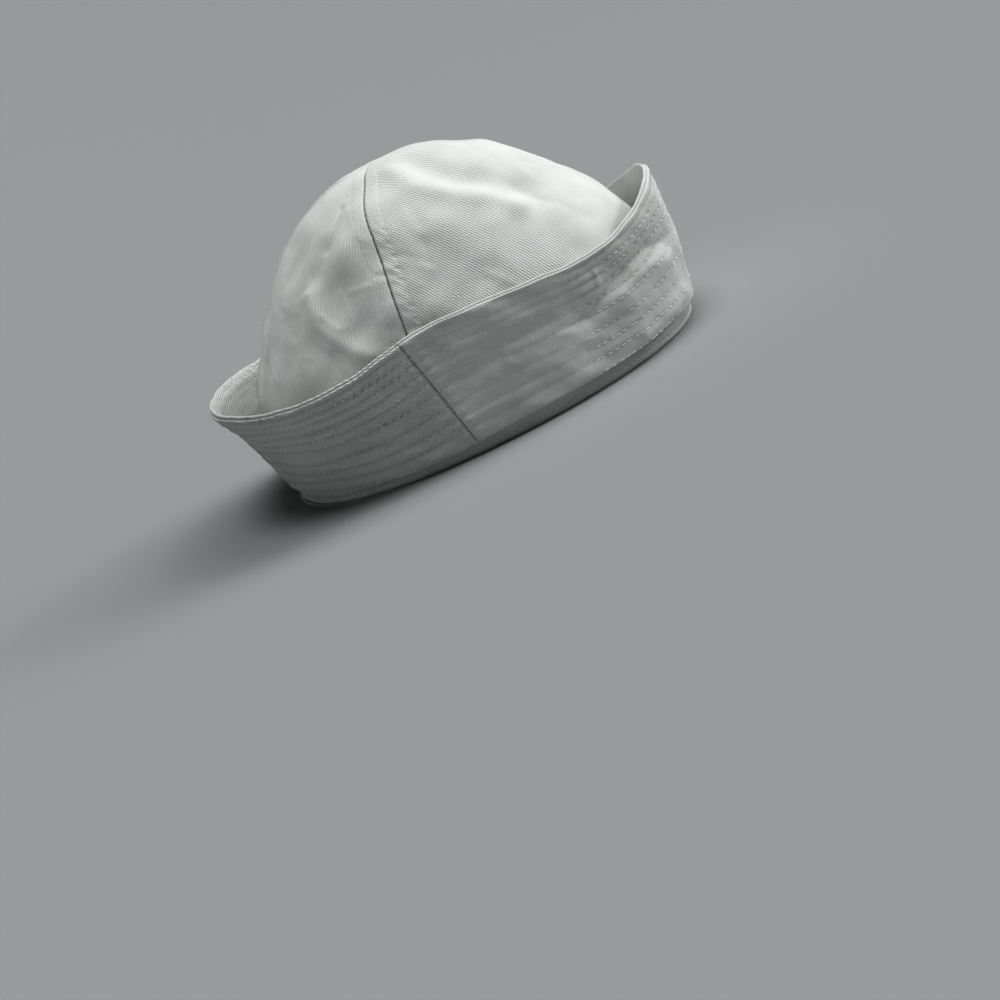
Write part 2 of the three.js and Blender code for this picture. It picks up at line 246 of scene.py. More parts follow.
# Degrees from the front, whichever way round.
def from_front(azimuth):
    return np.abs(turn_from(0, azimuth))


# Points of level outlines of the cap, each at its own half sizes.
def outline_point(azimuth, half_length, half_width, height, back=0.0):
    def rounded(value):
        return np.sign(value) * np.abs(value) ** (2 / OUTLINE_POWER)

    across, ahead = np.sin(azimuth * DEGREE), np.cos(azimuth * DEGREE)
    x = -half_width * rounded(across) * (1 - OUTLINE_TAPER * ahead)
    y = HEAD_CENTRE_Y + back - half_length * rounded(ahead)
    return np.stack(np.broadcast_arrays(x, y, height), axis=-1).astype(float)


# The outward unit normals of surface(azimuth, share), by small steps to either side.
def outward_normal(surface, azimuth, share):
    turn, rise = 0.05, 0.001
    share = np.clip(share, 0, 1)
    up = surface(azimuth, np.minimum(share + rise, 1)) - surface(azimuth, np.maximum(share - rise, 0))
    along = surface(azimuth + turn, share) - surface(azimuth - turn, share)
    return unit(np.cross(up, along))


def distance_to_path(points, path):
    nearest = np.full(points.shape[:-1], np.inf)
    for start, end in zip(path, path[1:]):
        run = end - start
        t = np.clip((points - start) @ run / (run @ run), 0, 1)
        nearest = np.minimum(nearest, np.linalg.norm(points - start - t[..., None] * run, axis=-1))
    return nearest


def fold_lift(folds, place_of, points):
    lift = np.zeros(points.shape[:-1])
    for height, width, places in folds:
        path = [place_of(float(azimuth), float(level)) for azimuth, level in places]
        lift += height * bell(distance_to_path(points, path), width)
    return lift


# Lift of creases that run along the brim. Their two sides can be of different widths.
def crease_lift(azimuth, height):
    lift = np.zeros(np.broadcast(azimuth, height).shape)
    for depth, below, above, places in CUFF_CREASE_LINES:
        turns, levels = np.array(places, float).T
        turned = turn_from(turns[0], azimuth) + turns[0]
        off = height - np.interp(turned, turns, levels)
        beyond = np.maximum(np.maximum(turns[0] - turned, turned - turns[-1]), 0)
        reach = np.where(off < 0, below, above)
        lift += depth * np.exp(-np.hypot(off, CREASE_ROUND) / reach) * bell(beyond, CREASE_FADE)
    return lift


# Soft unevenness of cloth: a sum of waves that cross in all directions.
def unevenness(points, wavelength, height, seed, waves=14):
    draw = np.random.default_rng(seed)
    total = np.zeros(points.shape[:-1])
    for _ in range(waves):
        direction = unit(draw.normal(size=3))
        length = wavelength * draw.uniform(0.7, 1.4)
        total += np.sin(points @ direction * (2 * math.pi / length) + draw.uniform(0, 2 * math.pi))
    return total * height / math.sqrt(waves / 2)


# The uneven drift of the puckers along a row of stitches.
def drift(draw, along, size, shortest, longest):
    waves = 5
    return sum(
        draw.normal(0, size) * np.sin(along / draw.uniform(shortest, longest) + draw.uniform(0, 6))
        for _ in range(waves)
    )


# Short creases, scattered over part of a surface.
def scattered_folds(seed, count, azimuths, heights, lengths, widths, lifts, lean):
    draw = np.random.default_rng(seed)
    folds = []
    for _ in range(count):
        azimuth, level = draw.uniform(*azimuths), draw.uniform(*heights)
        length, tilt = draw.uniform(*lengths), (lean + draw.normal(0, 20)) * DEGREE
        sideways, upwards = length * math.cos(tilt) / 2, length * math.sin(tilt) / 2
        turn = sideways / HEAD_HALF_WIDTH / DEGREE
        bow = draw.normal(0, length * 0.08)
        path = [
            (azimuth - turn, level - upwards),
            (azimuth, level + bow),
            (azimuth + turn, level + upwards),
        ]
        folds.append((draw.uniform(*lifts) * draw.choice([-1, 1]), draw.uniform(*widths), path))
    return folds


# The crown

# The steps of a column from section to section, starting with none.
def section_steps(column):
    values = CROWN_SECTIONS[column]
    return np.diff(values, prepend=values[0])


# A share of the crown is counted along its front's profile, from the lower edge to the top.
SECTION_RUNS = np.hypot(section_steps("height"), section_steps("length"))
CROWN_RUN = SECTION_RUNS.sum()
CROWN_SECTIONS["share"] = SECTION_RUNS.cumsum() / CROWN_RUN
SHARES = np.linspace(0, 1, 2001)
HEIGHTS = smooth_column(CROWN_SECTIONS, "share", "height", SHARES)
# Shares between which the crown's normals turn upright, and between which its relief fades out.
LEVEL_FROM, LEVEL_TO = 0.94, 0.985
FADE_FROM, FADE_TO = 0.9, 0.97


def crown_column(column, share):
    return smooth_column(CROWN_SECTIONS, "share", column, share)


def smooth_crown(azimuth, share):
    length, width = crown_column("length", share), crown_column("width", share)
    height, back = crown_column("height", share), crown_column("back", share)
    return outline_point(azimuth, np.maximum(length, 0), np.maximum(width, 0), height, back)


def crown_fade(share):
    return 1 - smooth_step(FADE_FROM, FADE_TO, share)


def crown_share_at(height):
    return np.interp(height, HEIGHTS, SHARES)


def crown_place(azimuth, height):
    return smooth_crown(azimuth, crown_share_at(height))


def crown_normal(azimuth, share):
    level = smooth_step(LEVEL_FROM, LEVEL_TO, share)[..., None]
    outward = outward_normal(smooth_crown, azimuth, share)
    return unit(outward * (1 - level) + np.array([0, 0, 1.0]) * level)


# Millimetres round the crown for each degree of azimuth.
def crown_stretch(azimuth, share):
    turn = 0.05
    step = smooth_crown(azimuth + turn, share) - smooth_crown(azimuth - turn, share)
    return np.linalg.norm(step, axis=-1) / (2 * turn)


def side_seam(height):
    return np.interp(height, SIDE_SEAM["height"], SIDE_SEAM["azimuth"])


def crown_seams(height):
    side = side_seam(height)
    return {"front": 0 * side, "right": side, "back": 0 * side + 180, "left": 360 - side}


# Small creases of the crown's right half and of its left half, and more at the back on the right.
CROWN_CREASES = (
    scattered_folds(5, 26, (8, 172), (58, 112), (8, 20), (1.6, 3.0), (0.15, 0.4), 70)
    + scattered_folds(6, 22, (188, 352), (58, 112), (8, 20), (1.6, 3.0), (0.15, 0.4), 110)
    + scattered_folds(7, 16, (100, 175), (60, 90), (6, 14), (1.2, 2.4), (0.2, 0.45), 30)
)


SEAM_EDGE_DEPTH = 0.8
# Lengths up a seam between which its dimples fade out.
DIMPLES_FADE_FROM, DIMPLES_FADE_TO = 105, 145


# The welt of a seam at a distance from it: a rolled-in edge, a raised allowance, and a row of
# topstitching that pulls dimples into the cloth. along is the place on the seam's length.
def seam_welt(distance, along, welt, stitched_at, dimple, pitch, seed):
    draw = np.random.default_rng(seed)
    slant = along + 0.7 * distance
    sway = drift(draw, slant, 0.9, 7, 30)
    beat = 0.5 + 0.5 * np.cos(slant * 2 * math.pi / pitch + sway)
    uneven = 0.6 + 0.4 * np.sin(along / 9.7 + seed) * np.sin(along / 5.3 + 2 * seed)
    strength = dimple * uneven * (1 - smooth_step(DIMPLES_FADE_FROM, DIMPLES_FADE_TO, along))
    edge = -SEAM_EDGE_DEPTH * bell(distance, 0.5)
    allowance = welt * (1 - smooth_step(stitched_at - 0.4, stitched_at + 1.6, distance))
    row = -0.12 * bell(distance - stitched_at, 0.8)
    pulled = -strength * beat ** 3 * bell(distance - stitched_at, 1.7)
    ripple = 0.6 * strength * (beat - 0.5) * bell(distance - 0.6 * stitched_at, 3.4)
    return edge + allowance + row + pulled + ripple


# The two side seams have a wide allowance, topstitched more firmly on the front gore. The seams at the
# front and back are narrow felled ridges.
SEAM_STYLES = {
    ("right", "front"): dict(welt=0.35, stitched_at=6.0, dimple=0.75, pitch=7.5, seed=11),
    ("right", "back"): dict(welt=0.25, stitched_at=5.5, dimple=0.22, pitch=6.5, seed=12),
    ("left", "front"): dict(welt=0.35, stitched_at=6.0, dimple=0.7, pitch=7.5, seed=13),
    ("left", "back"): dict(welt=0.25, stitched_at=5.5, dimple=0.25, pitch=6.5, seed=14),
    ("front", "front"): dict(welt=0.3, stitched_at=2.6, dimple=0.06, pitch=5.0, seed=15),
    ("back", "back"): dict(welt=0.95, stitched_at=2.2, dimple=0.2, pitch=5.0, seed=16),
}
# Each gore lies between two seams, at the front or back end of the crown.
GORES = {
    "crown_gore_front_right": ("front", "right", "front"),
    "crown_gore_back_right": ("right", "back", "back"),
    "crown_gore_back_left": ("back", "left", "back"),
    "crown_gore_front_left": ("left", "front", "front"),
}


# The two seams of a gore: each one's distance from places on the gore, and its style on that gore.
def seams_of(gore, azimuth, share, height):
    seams = crown_seams(height)
    stretch = crown_stretch(azimuth, share)
    first, last, end = GORES[gore]
    for seam in (first, last):
        yield np.abs(turn_from(seams[seam], azimuth)) * stretch, SEAM_STYLES[seam, end]


def crown_lift(gore, azimuth, share, points):
    lift = fold_lift(CROWN_FOLDS + CROWN_CREASES, crown_place, points)
    fade = crown_fade(share)
    lift += sum(unevenness(points, *row) for row in CROWN_UNEVENNESS) * fade
    for distance, style in seams_of(gore, azimuth, share, points[..., 2]):
        lift += seam_welt(distance, share * CROWN_RUN, **style) * fade
    return lift


# How far a place of a gore lies in the seam's rolled-in edge or in its row of topstitching. The cloth is
# painted darker there, as soil with painted shade in the seam's groove.
def seam_soil_and_shade(gore, azimuth, share, height):
    furrow = np.zeros(azimuth.shape)
    for distance, style in seams_of(gore, azimuth, share, height):
        row = 0.15 * bell(distance - style["stitched_at"], 0.7)
        furrow = np.maximum(furrow, np.maximum(bell(distance, 0.6), row))
    return furrow * crown_fade(share)


# Rows are far apart where the brim hides the crown, and close above it.
HIDDEN_BELOW = 40
HIDDEN_ROWS = 16
SHOWN_ROWS = 150


def crown_rows():
    hidden = np.linspace(0, crown_share_at(HIDDEN_BELOW), HIDDEN_ROWS, endpoint=False)
    shown = np.linspace(crown_share_at(HIDDEN_BELOW), 1, SHOWN_ROWS)
    return np.concatenate([hidden, shown])


SEAM_HALF_GAP = 0.12
# How strongly the columns crowd towards the seams, where the welt needs them.
CROWDING = 0.24


def gore_grid(gore):
    first, last, _ = GORES[gore]
    share = crown_rows()
    seams = crown_seams(crown_column("height", share))
    low, high = seams[first], seams[last]
    high = np.where(high < low, high + 360, high)
    radius = np.maximum(crown_column("width", share), SEAM_HALF_GAP)
    inset = SEAM_HALF_GAP / radius / DEGREE
    middle = (low + high) / 2
    low, high = np.minimum(low + inset, middle), np.maximum(high - inset, middle)
    count = int(round((high[0] - low[0]) * DEGREE * HEAD_HALF_LENGTH))
    step = np.linspace(0, 1, count + 1)[:, None]
    step = step - CROWDING * np.sin(2 * math.pi * step) / (2 * math.pi)
    return low + (high - low) * step, np.broadcast_to(share, (count + 1, len(share)))


# The brim

# The rim's lips: their radius, how far they swell past the wall, how much lower the outer lip lies, and
# the depth of the groove between them.
RIM_LIP = 0.75
RIM_SWELL = 0.12
RIM_STEP = 1.0
RIM_GROOVE = 2.1
FOLD_ROUND = 1.3
# Heights of the grid's rows on the wall, as shares of it and offsets in mm. They crowd round the rows of
# stitches. The lowest row of stitches has the fold close below it, so no grid rows lie there.
WALL_HEIGHT = 52.0
ROW_REACH = 1.3
ROW_OFFSETS = [-ROW_REACH, -0.75, -0.35, 0.0, 0.35, 0.75, ROW_REACH]
ROWS_BETWEEN = 4
ROWS_AT_STITCHES = [
    (at, offset) for at in STITCH_ROWS for offset in ROW_OFFSETS if at > STITCH_ROWS[0] or offset > 0
]
ROWS_IN_CHANNELS = [
    (low + (high - low) * step / ROWS_BETWEEN, 2 * ROW_REACH * (0.5 - step / ROWS_BETWEEN))
    for low, high in zip(STITCH_ROWS, STITCH_ROWS[1:])
    for step in range(1, ROWS_BETWEEN)
]
WALL_ROWS = sorted(ROWS_AT_STITCHES + ROWS_IN_CHANNELS, key=lambda row: row[0] * WALL_HEIGHT + row[1])


def cuff_at(column, azimuth):
    return smooth_column(CUFF_STATIONS, "azimuth", column, azimuth, period=360)


# The height of the brim's wall, from its fold to its rim.
def cuff_wall(azimuth):
    return cuff_at("rim", azimuth) - cuff_at("fold", azimuth)


def smooth_cuff(azimuth, share):
    bow = np.sin(math.pi * share) * cuff_at("belly", azimuth)
    out = CUFF_OUT + cuff_at("flare", azimuth) * share + bow
    height = cuff_at("fold", azimuth) + cuff_wall(azimuth) * share
    return outline_point(azimuth, HEAD_HALF_LENGTH + out, HEAD_HALF_WIDTH + out, height)


def cuff_place(azimuth, height):
    return smooth_cuff(azimuth, (height - cuff_at("fold", azimuth)) / cuff_wall(azimuth))


# Lengths along the middle of the brim's wall, in steps of a tenth of a degree.
AZIMUTHS = np.linspace(-180, 540, 7201)
MIDDLE_OF_WALL = smooth_cuff(AZIMUTHS, np.full(len(AZIMUTHS), 0.5))
ALONG = np.append(0, np.linalg.norm(np.diff(MIDDLE_OF_WALL, axis=0), axis=-1).cumsum())


# The length along the brim at an azimuth.
def cuff_along(azimuth):
    return np.interp(azimuth, AZIMUTHS, ALONG)


def right_cuff_seam(share):
    return CUFF_SEAM_AT_FOLD + (CUFF_SEAM_AT_RIM - CUFF_SEAM_AT_FOLD) * share


# How strongly the brim puckers: little on the front, and fully behind the side seams.
FRONT_PUCKER = 0.35


def pucker(azimuth):
    return FRONT_PUCKER + (1 - FRONT_PUCKER) * smooth_step(94, 112, from_front(azimuth))


# How deeply the rows of stitching draw the cloth in: least on the sides.
SIDE_ROWS = 0.1
FRONT_ROWS_MORE = 0.25
BACK_ROWS_MORE = 0.42


def row_strength(azimuth):
    side = from_front(azimuth)
    front = FRONT_ROWS_MORE * (1 - smooth_step(56, 68, side))
    return SIDE_ROWS + front + BACK_ROWS_MORE * smooth_step(98, 112, side)


# Small creases of the brim: its back, its front with the right side, and its left side.
CUFF_CREASES = (
    scattered_folds(31, 64, (104, 256), (9, 50), (6, 16), (1.0, 2.2), (0.2, 0.55), 12)
    + scattered_folds(32, 26, (-60, 95), (10, 54), (5, 12), (1.0, 2.0), (0.1, 0.28), 20)
    + scattered_folds(33, 14, (264, 300), (10, 54), (5, 12), (1.0, 2.0), (0.1, 0.28), 160)
)


# The swelling of the cloth between rows of stitching, from -0.5 at a row to 0.5 halfway to the next one.
def channel_swelling(share):
    rows = np.array([-0.1, *STITCH_ROWS, 1.05])
    row = np.clip(np.searchsorted(rows, share, "right") - 1, 0, len(rows) - 2)
    phase = (share - rows[row]) / (rows[row + 1] - rows[row])
    return np.abs(np.sin(math.pi * phase)) - 0.5


CUFF_ROW_SEED = 40
# How far the puckers of the brim slant, and how far they reach from their row.
PUCKER_SLANT = 0.55
PUCKER_REACH = 2.0
# The groove of the brim's side seams, the ridge in front of it, and the puckers on both sides: depth or
# height, distance from the seam and half width.
SEAM_GROOVE = dict(depth=1.0, half_width=0.7)
SEAM_RIDGE = dict(height=0.35, ahead=3.0, half_width=2.2)
SEAM_PUCKERS = dict(height=0.22, away=2.6, half_width=2.4, pitch=5.2, phase=0.4)


def cuff_lift(azimuth, share, points, inside=False):
    wall = cuff_wall(azimuth)
    along = cuff_along(azimuth)
    lift = CHANNEL_RELIEF * pucker(azimuth) * channel_swelling(share)
    for number, at in enumerate(STITCH_ROWS):
        draw = np.random.default_rng(CUFF_ROW_SEED + number)
        sway = drift(draw, along, 0.7, 9, 40)
        strength = 1 + 0.5 * np.sin(along / draw.uniform(11, 23) + draw.uniform(0, 6))
        off = (share - at) * wall
        slant = along + PUCKER_SLANT * off
        wave = np.sin(slant * 2 * math.pi / STITCH_PITCH + sway)
        lift += CUFF_PUCKER * pucker(azimuth) ** 2 * strength * wave * bell(off, PUCKER_REACH)
        lift -= FURROW_DEPTH * row_strength(azimuth) * bell(off, FURROW_HALF_WIDTH)
    ripples = CUFF_RIPPLES_INSIDE if inside else CUFF_RIPPLES_OUTSIDE
    lift += unevenness(points, *CUFF_WAVES) + unevenness(points, *ripples)
    lift += unevenness(points, *CUFF_BACK_CRUMPLES) * smooth_step(100, 116, from_front(azimuth))
    if inside:
        return -lift + unevenness(points, *CUFF_WAVES_INSIDE)
    lift += fold_lift(CUFF_FOLDS + CUFF_CREASES, cuff_place, points) + crease_lift(azimuth, points[..., 2])
    off_seam = (from_front(azimuth) - right_cuff_seam(share)) * DEGREE * (HEAD_HALF_WIDTH + CUFF_OUT)
    beat = np.sin(share * wall * 2 * math.pi / SEAM_PUCKERS["pitch"] + SEAM_PUCKERS["phase"])
    beside = bell(np.abs(off_seam) - SEAM_PUCKERS["away"], SEAM_PUCKERS["half_width"])
    lift -= SEAM_GROOVE["depth"] * bell(off_seam, SEAM_GROOVE["half_width"])
    ridge = SEAM_RIDGE["height"] * bell(off_seam + SEAM_RIDGE["ahead"], SEAM_RIDGE["half_width"])
    lift += ridge + SEAM_PUCKERS["height"] * beat * beside
    return lift


# How far a place lies in a stitched furrow, where the cloth is painted darker, as soil with painted shade.
# There is more of it on the front, round the proud thread.
def cuff_soil_and_shade(azimuth, height):
    wall = cuff_wall(azimuth)
    furrow = np.zeros(azimuth.shape)
    for share in STITCH_ROWS:
        furrow = np.maximum(furrow, bell(height - share * wall, FURROW_HALF_WIDTH))
    return furrow * (row_strength(azimuth) + 0.5 * (1 - smooth_step(60, 68, from_front(azimuth))))


# Painted shade: the inner face is painted darker at the back, below the rim, where the crown shades it.
def inner_cuff_painted_shade(azimuth, height):
    below_rim = cuff_wall(azimuth) - height
    return INNER_PAINTED_SHADE * smooth_step(108, 140, from_front(azimuth)) * smooth_step(1.5, 7, below_rim)


# The share of the relief that the inner face takes.
INNER_RELIEF = 0.35


# A place on the brim: a height up the wall from its fold, and a depth in from the outer face.
def cuff_face(azimuth, height, depth):
    wall = cuff_wall(azimuth)
    share = height / wall
    points = smooth_cuff(azimuth, share)
    normal = outward_normal(smooth_cuff, azimuth, share)
    outer, inner = cuff_lift(azimuth, share, points), cuff_lift(azimuth, share, points, inside=True)
    # The relief of the faces fades out over the fold and the rim's two lips.
    near_rim = smooth_step(0, 3.0, wall - height)
    near_fold = smooth_step(0, 2.5, height)
    mix = np.clip(depth / CUFF_WALL, 0, 1)
    creased = fold_lift(CUFF_FOLDS, cuff_place, points) + crease_lift(azimuth, points[..., 2])
    relief = outer * (1 - mix) + (inner * INNER_RELIEF + creased) * mix
    lift = relief * near_rim * near_fold + creased * (1 - near_rim * near_fold)
    hem = 0.15 * bell(wall - height - 3.6, 1.4) * (1 - mix)
    return points + normal * (lift + hem - depth)[..., None]


CUFF_COLUMN_STEP = 1.05
CUFF_SEAM_HALF_GAP = 0.1
# The row of the brim's grid that its cloth is measured along.
MEASURED_ROW = 40


# The brim's section is two halves, outer and inner, which meet below at the fold and above in the groove
# between the rim's two lips. The inner lip stands higher than the outer one.
def cuff_grid(first_seam, last_seam, inner):
    turn = np.linspace(-90, 0, 6)[:-1] * DEGREE
    low_height, low_depth = FOLD_ROUND * (1 + np.sin(turn)), FOLD_ROUND * (1 - np.cos(turn))
    turn = np.linspace(0, 180, 9) * DEGREE
    lip_drop = RIM_LIP if inner else RIM_LIP + RIM_STEP
    lip_height = np.append(-lip_drop + RIM_LIP * np.sin(turn), -RIM_GROOVE)
    lip_depth = np.append(RIM_LIP * (1 - np.cos(turn)) - RIM_SWELL, CUFF_WALL / 2)
    wall_share, wall_offset = np.array(WALL_ROWS).T
    share = np.concatenate([0 * low_height, wall_share, 0 * lip_height + 1])
    # Rows that crowd round the stitches still follow the straight line of the seam.
    wall_place = wall_share + wall_offset / WALL_HEIGHT
    seam_share = np.concatenate([0 * low_height, wall_place, 0 * lip_height + 1])
    first, last = first_seam(seam_share), last_seam(seam_share)
    count = int(round((last[0] - first[0]) * DEGREE * (HEAD_HALF_LENGTH + CUFF_OUT) / CUFF_COLUMN_STEP))
    inset = CUFF_SEAM_HALF_GAP / HEAD_HALF_LENGTH / DEGREE
    azimuth = (first + inset) + (last - first - 2 * inset) * np.linspace(0, 1, count + 1)[:, None]
    wall = cuff_wall(azimuth)
    middle = slice(len(low_height), len(low_height) + len(wall_share))
    height = wall * share
    height[:, middle] += wall_offset
    height[:, :middle.start] = low_height
    height[:, middle.stop:] = wall[:, middle.stop:] + rim_wave(azimuth[:, middle.stop:]) + lip_height
    depth = np.zeros_like(azimuth)
    depth[:, :middle.start] = low_depth
    depth[:, middle.stop:] = lip_depth
    return azimuth, height, CUFF_WALL - depth if inner else depth


# Slight waviness of the rim's height.
def rim_wave(azimuth):
    along = cuff_along(azimuth)
    return 0.12 * np.sin(along / 4.1 + 1) + 0.14 * np.sin(along / 6.7) + 0.08 * np.sin(along / 2.6 + 2)


# Meshes

def make_object(name, mesh, material):
    made = bpy.data.objects.new(name, mesh)
    bpy.context.scene.collection.objects.link(made)
    mesh.materials.append(material)
    return made


# A mesh from points, four-cornered faces whose repeated corners are dropped, and cloth coordinates in mm.
def mesh_of(name, points, faces, cloth=None, weld=None, furrow=None):
    weld = np.arange(len(points)) if weld is None else weld
    corners = weld[faces]
    keep = corners != np.roll(corners, 1, axis=1)
    full = keep.sum(axis=1) >= 3
    corners, keep, faces = corners[full], keep[full], faces[full]
    used, order = np.unique(corners[keep], return_inverse=True)
    totals = keep.sum(axis=1)
    mesh = bpy.data.meshes.new(name)
    mesh.vertices.add(len(used))
    mesh.vertices.foreach_set("co", (points[used] * MM).ravel())
    mesh.loops.add(len(order))
    mesh.loops.foreach_set("vertex_index", order.ravel())
    mesh.polygons.add(len(totals))
    mesh.polygons.foreach_set("loop_start", np.concatenate([[0], totals.cumsum()[:-1]]))
    mesh.polygons.foreach_set("use_smooth", np.ones(len(totals), bool))
    if cloth is not None:
        layer = mesh.uv_layers.new(name="cloth")
        layer.data.foreach_set("uv", cloth[faces[keep]].ravel())
    if furrow is not None:
        depth = mesh.attributes.new("furrow", "FLOAT", "POINT")
        depth.data.foreach_set("value", furrow[used])
    mesh.update(calc_edges=True)
    mesh.validate()
    return mesh


def grid_faces(index, flip=False):
    a, b, c, d = index[:-1, :-1], index[:-1, 1:], index[1:, 1:], index[1:, :-1]
    order = (a, d, c, b) if flip else (a, b, c, d)
    return np.stack(order, axis=-1).reshape(-1, 4)


# A closed shell between an outer and an inner grid of points. At a tip the last row shrinks to one point.
# Grids whose first and last rows lie in the same places are joined there.
def shell_mesh(name, outer, inner, cloth, furrow, inner_furrow, tip=False, joined=False):
    shape = outer.shape[:2]
    size = shape[0] * shape[1]
    top = np.arange(size).reshape(shape)
    under = top + size
    weld = np.arange(2 * size)
    if tip:
        weld[top[:, -1]] = top[0, -1]
        weld[under[:, -1]] = under[0, -1]
    if joined:
        weld[under[:, 0]] = top[:, 0]
        weld[under[:, -1]] = top[:, -1]
    faces = [grid_faces(top), grid_faces(under, flip=True)]
    for edge_top, edge_under, flip in (
        (top[:, 0], under[:, 0], False),
        (top[:, -1], under[:, -1], True),
        (top[0], under[0], True),
        (top[-1], under[-1], False),
    ):
        faces.append(grid_faces(np.stack([edge_under, edge_top]), flip=not flip))
    points = np.concatenate([outer.reshape(-1, 3), inner.reshape(-1, 3)])
    flat = np.concatenate([cloth.reshape(-1, 2), cloth.reshape(-1, 2)])
    tones = np.concatenate([furrow.ravel(), inner_furrow.ravel()])
    return mesh_of(name, points, np.concatenate(faces), flat, weld, tones)


# Cloth coordinates of a grid: the length along its rows from the middle column, and the height. With
# one_row, all rows take the lengths of that row.
def cloth_coordinates(points, heights, one_row=None):
    steps = np.linalg.norm(np.diff(points, axis=0), axis=-1)
    along = np.concatenate([np.zeros((1, points.shape[1])), steps.cumsum(axis=0)])
    if one_row is not None:
        along = np.repeat(along[:, one_row:one_row + 1], points.shape[1], axis=1)
    along = along - along[len(along) // 2]
    return np.stack([along, heights], axis=-1)


# The most that the crown's inner face follows the swellings of the outer one.
CROWN_INNER_LIFT = 0.5


def crown_gore(name, material):
    azimuth, share = gore_grid(name)
    points = smooth_crown(azimuth, share)
    normal = crown_normal(azimuth, share)
    lift = crown_lift(name, azimuth, share, points)
    outer = points + normal * lift[..., None]
    inner = points + normal * (np.minimum(lift, CROWN_INNER_LIFT) - CROWN_WALL)[..., None]
    cloth = cloth_coordinates(points, share * CROWN_RUN)
    furrow = seam_soil_and_shade(name, azimuth, share, points[..., 2])
    mesh = shell_mesh(name, outer, inner, cloth, furrow, 0 * furrow, tip=True)
    return make_object(name + "_cloth", mesh, material)


def cuff_piece(name, first_seam, last_seam, material):
    azimuth, height, depth = cuff_grid(first_seam, last_seam, inner=False)
    outer = cuff_face(azimuth, height, depth)
    inner = cuff_face(*cuff_grid(first_seam, last_seam, inner=True))
    furrow, inner_furrow = cuff_soil_and_shade(azimuth, height), inner_cuff_painted_shade(azimuth, height)
    cloth = cloth_coordinates(outer, height, MEASURED_ROW)
    mesh = shell_mesh(name, outer, inner, cloth, furrow, inner_furrow, joined=True)
    return make_object(name, mesh, material)


# The headband, folded under the crown's lower edge. Only its outer leg's foot shows below the brim.
BAND_FOOT = 1.0
BAND_LEAN = 0.5
BAND_COLUMNS = 560
# Height of the band's row of stitching above its lower edge, and its pitch.
BAND_ROW = 2.7
BAND_PITCH = 4.0


# The band's section, as distances out from the head and heights: round the foot, up the outer leg, down
# and across inside the fold, then over the inner leg and down its face.
def band_section():
    foot, lean, outer, wall = BAND_FOOT, BAND_LEAN, BAND_OUT, BAND_WALL
    toe = outer - lean - foot
    inner_turn = np.linspace(0, 90, 5) * DEGREE
    outer_turn = np.linspace(0, 90, 6)[1:] * DEGREE
    return np.array([
        *[(foot * (1 - math.cos(a)), foot * (1 - math.sin(a))) for a in inner_turn],
        *[(out, 0.0) for out in np.linspace(wall, toe, 4)],
        *[(toe + foot * math.sin(a), foot * (1 - math.cos(a))) for a in outer_turn],
        *[(outer - lean + lean * t, foot + 4 * t) for t in np.linspace(0, 1, 9)[1:]],
        *[(outer, height) for height in np.linspace(5.5, BAND_OUTSIDE_HEIGHT - 0.5, 8)],
        (outer - 0.4, BAND_OUTSIDE_HEIGHT),
        (outer - wall, BAND_OUTSIDE_HEIGHT - 0.4),
        (outer - wall, 2.6),
        (outer - wall - 0.6, 1.7),
        (wall + 0.6, 1.7),
        (wall, 2.6),
        (wall, BAND_INSIDE_HEIGHT - 0.5),
        (wall - 0.4, BAND_INSIDE_HEIGHT),
        (0.4, BAND_INSIDE_HEIGHT),
        *[(0.0, height) for height in np.linspace(BAND_INSIDE_HEIGHT - 0.5, 2.0, 9)],
    ])


# Level unit normals that point away from the middle of the head.
def level_normal(points):
    return unit((points - [0, HEAD_CENTRE_Y, 0]) * [1, 1, 0])


def headband(material):
    section = band_section()
    out, height = section.T
    azimuth = np.linspace(0, 360, BAND_COLUMNS + 1)[:, None] + 0 * out
    points = outline_point(azimuth, HEAD_HALF_LENGTH + out, HEAD_HALF_WIDTH + out, height)
    along = cuff_along(azimuth)
    # The stitching near the lower edge draws the cloth in, and the cloth swells between stitches.
    relief = 0.3 * bell(height - 1.4, 0.9) - 0.32 * bell(height - BAND_ROW, 0.6)
    relief = relief + 0.12 * np.sin(along * 2 * math.pi / BAND_PITCH) * bell(height - BAND_ROW, 1.6)
    relief = relief + unevenness(points, *BAND_UNEVENNESS)
    shown = smooth_step(2.0, BAND_OUT - 0.8, out) * smooth_step(0.4, 1.4, height)
    shown = shown * (1 - smooth_step(10, 12, height))
    points = points + level_normal(points) * (relief * shown)[..., None]
    index = np.arange(azimuth.size).reshape(azimuth.shape)
    closed = np.concatenate([index, index[:, :1]], axis=1)
    weld = np.arange(azimuth.size)
    weld[index[-1]] = index[0]
    run_up = np.concatenate([[0], np.hypot(np.diff(out), np.diff(height)).cumsum()])
    cloth = np.stack(np.broadcast_arrays(along, run_up), axis=-1).reshape(-1, 2)
    faces = grid_faces(closed, flip=True)
    mesh = mesh_of("headband_cloth", points.reshape(-1, 3), faces, cloth, weld)
    return make_object("headband_cloth", mesh, material)


